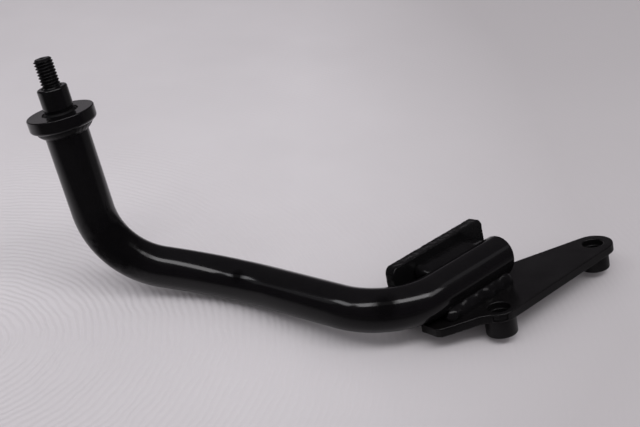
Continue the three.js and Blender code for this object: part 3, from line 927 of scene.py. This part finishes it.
def front_section(x):
    wide = 1.0 + 0.12 * noise_at(x / 6.0, 5.0, 1.0)
    foot = (-12.6 * wide + 0.4, -0.1)
    touch = on_tube(209 + 3 * noise_at(x / 5.0, 1.0, 6.0), 0.15)
    hidden = [on_tube(222, 0.15), on_tube(238, 0.1), (-5.4, -0.1)]
    return foot, touch, 0.7, hidden, (-9.0, 1.2)


def root_section(_x):
    buried = FLANGE_FRONT + 0.1
    foot = (FLANGE_FRONT - 4.6, -0.1)
    return (buried, 4.6), foot, 0.35, [(buried, -0.1)], (FLANGE_FRONT - 1.0, 1.0)


back_weld = bead(back_section, -47.0, 3.0, seed=1.3, pitch=2.6, taper=4.5)
front_weld = bead(
    front_section, -52.5, -1.5, seed=4.7, pitch=2.8, lift=0.03, knob=1.25, rough=0.35
)
root_weld = bead(root_section, -56.0, 6.0, seed=9.1, pitch=2.2, lift=0.2, taper=4.0)
for name, shape, replaced in (
    ("back_weld_bead", back_weld, "back_weld"),
    ("front_weld_bead", front_weld, "front_weld"),
    ("flange_root_bead", root_weld, "flange_root_weld"),
):
    make(name, shape, FOOT, BEAD, "leg", replaced, sharp=65)


# ------------------------------------------------------------------ plug in the open tube end
def tube_plug():
    profile = [
        (0, -9), (7.6, -9, 0.8), (8.2, -8.0, 0.3), (8.2, -0.5, 0.5), (7.0, -0.5, 0.3),
        (6.4, -1.5, 0.5), (1.2, -1.5, 0.3), (0.9, -2.0, 0.2), (0, -2.0),
    ]
    return lathe(fillet(profile, closed=False, seg=4))


make(
    "tube_end_plug_moulded", tube_plug(), TUBE_END, PLASTIC,
    "leg", "tube_end_plug", sharp=40,
)


# ------------------------------------------------------------------ pieces inside the tube
def flange_bush():
    collar_r, sleeve_r = 8.2, 6.5
    low, step, top = -DISC_T - 1.8, -DISC_T - 0.3, -0.8
    profile = [
        (INNER_R, low, 0.15), (collar_r, low, 0.3), (collar_r, step, 0.2),
        (sleeve_r, step), (sleeve_r, top, 0.2), (INNER_R, top, 0.15),
    ]
    return lathe(fillet(profile, seg=4))


def washer(outer, low, high, corner, segments=96, shape=None):
    profile = [
        (INNER_R, low, corner * 0.5), (outer, low, corner),
        (outer, high, corner), (INNER_R, high, corner * 0.5),
    ]
    return lathe(fillet(profile, seg=4), segments, shape)


def three_waves(r, t, z):
    return r, z + 0.28 * math.sin(3 * t)


def hex_nut():
    """A hexagon whose corners are turned off by a 30 degree cone at both ends."""
    low, high = -DISC_T - 10.9, -DISC_T - 5.3
    flat = 14.3 / 2
    steps = (0.15, 0.3, 0.45, 0.6, 0.8)

    def hexagon(r, t, z):
        if r < flat:
            return r, z
        side = flat / math.cos(t % (math.pi / 3) - math.pi / 6)
        cone = flat - 0.25 + min(z - low, high - z) / math.tan(math.radians(30))
        return min(side, cone), z

    levels = [low, *(low + s for s in steps), (low + high) / 2]
    levels += [*(high - s for s in steps[::-1]), high]
    bore = [
        (INNER_R + 0.5, high), (INNER_R, high - 0.5), (INNER_R, low + 0.5), (INNER_R + 0.5, low),
    ]
    return lathe([(flat, z) for z in levels] + bore, 96, hexagon)


def coil():
    """A plain helix of round wire."""
    radius, wire, turns, low, top = 6.75, 0.7, 5.5, -42.6, -28.6
    rows = []
    for i in range(331):
        t = i / 330
        a = 2 * math.pi * turns * t
        rows.append(np.array((radius * math.cos(a), radius * math.sin(a), low + (top - low) * t)))
    points = []
    for i, row in enumerate(rows):
        tangent = unit(rows[min(i + 1, len(rows) - 1)] - rows[max(i - 1, 0)])
        out = unit([row[0], row[1], 0])
        across = np.cross(tangent, out)
        points += [row + wire * (math.cos(t) * out + math.sin(t) * across) for t in around(20)]
    return skin(points, 20, closed=False)


def pin():
    """A round pin lying along X below the disc."""
    radius, half_length, corner, height = 1.2, 7.6, 0.35, -20.6
    profile = [
        (0, -half_length), (radius, -half_length, corner),
        (radius, half_length, corner), (0, half_length),
    ]
    points, faces = lathe(fillet(profile, closed=False, seg=5), 40)
    return [(z, y, -x + height) for x, y, z in points], faces


make(
    "flange_bush_sintered", flange_bush(), PIVOT, BRONZE,
    "leg", "flange_bush", weighted=True,
)
make(
    "thrust_washer_pressed", washer(8.2, low=-DISC_T - 3.2, high=-DISC_T - 2.1, corner=0.2),
    PIVOT, ZINC, "leg", "thrust_washer", weighted=True,
)
make(
    "wave_washer_spring",
    washer(7.8, -DISC_T - 4.55, -DISC_T - 4.05, corner=0.12, segments=144, shape=three_waves),
    PIVOT, SPRING, "pivot", "wave_washer", weighted=True,
)
make(
    "spring_anchor_washer_pressed", washer(8.0, low=-45.6, high=-44.0, corner=0.25),
    PIVOT, ZINC, "pivot", "spring_anchor_washer", weighted=True,
)
make(
    "retaining_nut_hex", hex_nut(), PIVOT, ZINC,
    "pivot", "retaining_nut", sharp=25,
)
make(
    "return_spring_coil", coil(), PIVOT, SPRING,
    "pivot", "return_spring", sharp=50,
)
make("stop_pin_hardened", pin(), PIVOT, ZINC, "pivot", "stop_pin", sharp=40)

# the stop ring keeps its shape and gets its own finish
stop_ring = frame["nodes"]["stop_ring"].data.materials
stop_ring.clear()
stop_ring.append(metal("machined stop ring", (0.40, 0.41, 0.42), rough=0.36))


# ------------------------------------------------------------------ floor; its spans are in metres
def sheet_material():
    g = Surface("pale sheet")
    tone = g.noise(size_mm=160.0)
    fine = g.noise(size_mm=1.1, detail=4.0, roughness=0.6)
    colour = g.mix(g.ramp(tone), (0.60, 0.580, 0.597), (0.65, 0.630, 0.648))
    colour = g.mix(g.ramp(fine, span=(0.35, 0.7), to=(0.0, 0.06)), colour, (0.5, 0.485, 0.5))
    g.put("Specular IOR Level", 0.25)
    g.put("Roughness", 0.75)

    # embossed rings, centred at the left, that fade as they run out
    centred = g.node("ShaderNodeMapping", {"Location": (0.19, 0.035, 0.0), "Vector": g.coords})
    centred = centred.outputs["Vector"]
    rings = g.node(
        "ShaderNodeTexWave",
        {"Vector": centred, "Scale": 82.0, "Distortion": 5.0, "Detail": 2.0, "Detail Scale": 0.6},
        wave_type="RINGS", rings_direction="SPHERICAL",
    )
    reach = g.vector_value("LENGTH", centred)
    fade = g.ramp(reach, span=(0.04, 0.24), to=(1.0, 0.12))
    relief = g.times(rings.outputs["Fac"], fade)

    # painted falloff of light: the sheet's colour is darkened to the right, to the front and far back
    place = g.split(g.coords)
    front = g.ramp(place["Y"], span=(0.0, -0.13), to=(0.0, 0.50))
    fall = g.plus(g.ramp(place["X"], span=(-0.02, 0.15)), front)
    fall = g.plus(fall, g.ramp(place["Y"], span=(0.22, 0.50), to=(0.0, 0.30)))
    colour = g.mix(g.times(fall, 0.9), colour, (0.47, 0.452, 0.463))

    # painted shade in reflections: where gloss paint mirrors it, the floor is darkened in front, at
    # the right and far back
    place = g.split(g.geometry("Position"))
    mirrored = g.node("ShaderNodeLightPath").outputs["Is Glossy Ray"]
    right = g.ramp(place["X"], span=(0.06, 0.17), to=(0.0, 0.75))
    mirrored_shade = g.math("MAXIMUM", g.ramp(place["Y"], span=(0.02, -0.11)), right)
    mirrored_shade = g.math("MAXIMUM", mirrored_shade, g.ramp(place["Y"], span=(0.16, 0.60), to=(0.0, 0.65)))
    g.put("Base Color", g.mix(g.times(mirrored, mirrored_shade), colour, (0.045, 0.043, 0.046)))

    normal = g.bump(relief, strength=0.7, depth_mm=0.5)
    normal = g.bump(fine, strength=0.08, depth_mm=0.2, normal=normal)
    broad = g.noise(size_mm=60.0, detail=2.0)
    g.put("Normal", g.bump(broad, strength=0.3, depth_mm=2.0, normal=normal))
    return g.material


def floor():
    half, z = 9.0, -0.00015  # metres
    corners = [(-half, -half, z), (half, -half, z), (half, half, z), (-half, half, z)]
    mesh = bpy.data.meshes.new("bench_sheet")
    mesh.from_pydata(corners, [], [(0, 1, 2, 3)])
    mesh.materials.append(sheet_material())
    sheet = bpy.data.objects.new("bench_sheet", mesh)
    bpy.context.scene.collection.objects.link(sheet)


floor()

# ------------------------------------------------------------------ light
LAMPS = [  # name, place, target, (width, height), all in metres; power in watts, colour
    ("overhead strip", (0.175, -0.62, 1.60), (0.0, 0.0, 0.02), (2.25, 0.50), 15.5,
     (1.0, 0.985, 1.0)),
    ("left lamp", (-1.31, -0.60, 1.60), (0.0, 0.0, 0.0), (0.78, 0.42), 3.6, (0.97, 0.97, 1.0)),
    ("far left lamp", (-2.25, -0.62, 1.60), (0.0, 0.0, 0.0), (0.60, 0.60), 0.3,
     (0.95, 0.95, 1.0)),
    ("right lamp", (1.42, -0.22, 1.53), (0.0, 0.0, 0.0), (0.75, 0.42), 1.8, (1.0, 0.98, 1.0)),
    ("right window", (1.46, 0.45, 1.41), (0.08, 0.0, 0.03), (0.42, 0.42), 0.13,
     (0.97, 0.96, 1.0)),
]
for name, place, target, size, power, colour in LAMPS:
    light = bpy.data.lights.new(name, "AREA")
    light.shape = "RECTANGLE"
    light.size, light.size_y = size
    light.energy = power
    light.color = colour
    lamp = bpy.data.objects.new(name, light)
    bpy.context.scene.collection.objects.link(lamp)
    lamp.location = place
    lamp.rotation_mode = "QUATERNION"
    lamp.rotation_quaternion = (Vector(target) - Vector(place)).to_track_quat("-Z", "Y")

# colours of the room by the height of the view direction: (height, colour)
MIRRORED_BACK = [
    (0.0, (0.31, 0.292, 0.312)), (0.09, (0.24, 0.225, 0.242)), (0.17, (0.063, 0.057, 0.064)),
    (0.55, (0.072, 0.066, 0.074)), (1.0, (0.11, 0.102, 0.115)),
]
MIRRORED_FRONT = [
    (0.0, (0.045, 0.038, 0.048)), (0.5, (0.040, 0.034, 0.043)), (1.0, (0.11, 0.102, 0.115)),
]
SOFT_FILL = [
    (0.0, (0.88, 0.851, 0.877)), (0.35, (0.60, 0.580, 0.598)), (1.0, (0.47, 0.455, 0.468)),
]
BACKDROP = (0.55, 0.545, 0.555)


def room():
    """An even soft fill for diffuse light, and a dimmer, uneven room for what gloss mirrors."""
    world = bpy.data.worlds.new("room")
    bpy.context.scene.world = world
    world.use_nodes = True
    g = Graph(world.node_tree)
    direction = g.split(g.node("ShaderNodeTexCoord").outputs["Generated"])
    ray = g.node("ShaderNodeLightPath").outputs

    def by_height(stops):
        node = g.node("ShaderNodeValToRGB", {"Fac": direction["Z"]})
        elements = node.color_ramp.elements
        while len(elements) > 1:
            elements.remove(elements[-1])
        elements[0].position = stops[0][0]
        elements[0].color = (*stops[0][1], 1)
        for height, colour in stops[1:]:
            elements.new(height).color = (*colour, 1)
        return node.outputs["Color"]

    back, front = by_height(MIRRORED_BACK), by_height(MIRRORED_FRONT)
    mirrored = g.mix(g.ramp(direction["Y"], span=(-0.15, 0.35)), front, back)
    colour = g.mix(ray["Is Glossy Ray"], by_height(SOFT_FILL), mirrored)
    colour = g.mix(ray["Is Camera Ray"], colour, BACKDROP)
    background = g.node("ShaderNodeBackground", {"Color": colour})
    g.node("ShaderNodeOutputWorld", {"Surface": background.outputs[0]})


room()

# ------------------------------------------------------------------ camera: straight along +Y
CAMERA_TILT = math.radians(31.374264)  # how far it looks down
CAMERA_DISTANCE = 0.615866  # metres from the origin of the bench frame

camera_data = bpy.data.cameras.new("camera")
camera_data.sensor_fit = "HORIZONTAL"
camera_data.sensor_width = 36.0
camera_data.lens = 57.238
camera_data.clip_start, camera_data.clip_end = 0.01, 20
camera = bpy.data.objects.new("camera", camera_data)
bpy.context.scene.collection.objects.link(camera)
camera.location = (
    SHIFT[0] / 1000,
    SHIFT[1] / 1000 - CAMERA_DISTANCE * math.cos(CAMERA_TILT),
    SHIFT[2] / 1000 + CAMERA_DISTANCE * math.sin(CAMERA_TILT),
)
camera.rotation_euler = (math.pi / 2 - CAMERA_TILT, 0, 0)
bpy.context.scene.camera = camera
bpy.context.scene.view_settings.view_transform = "Standard"
bpy.context.scene.view_settings.look = "None"
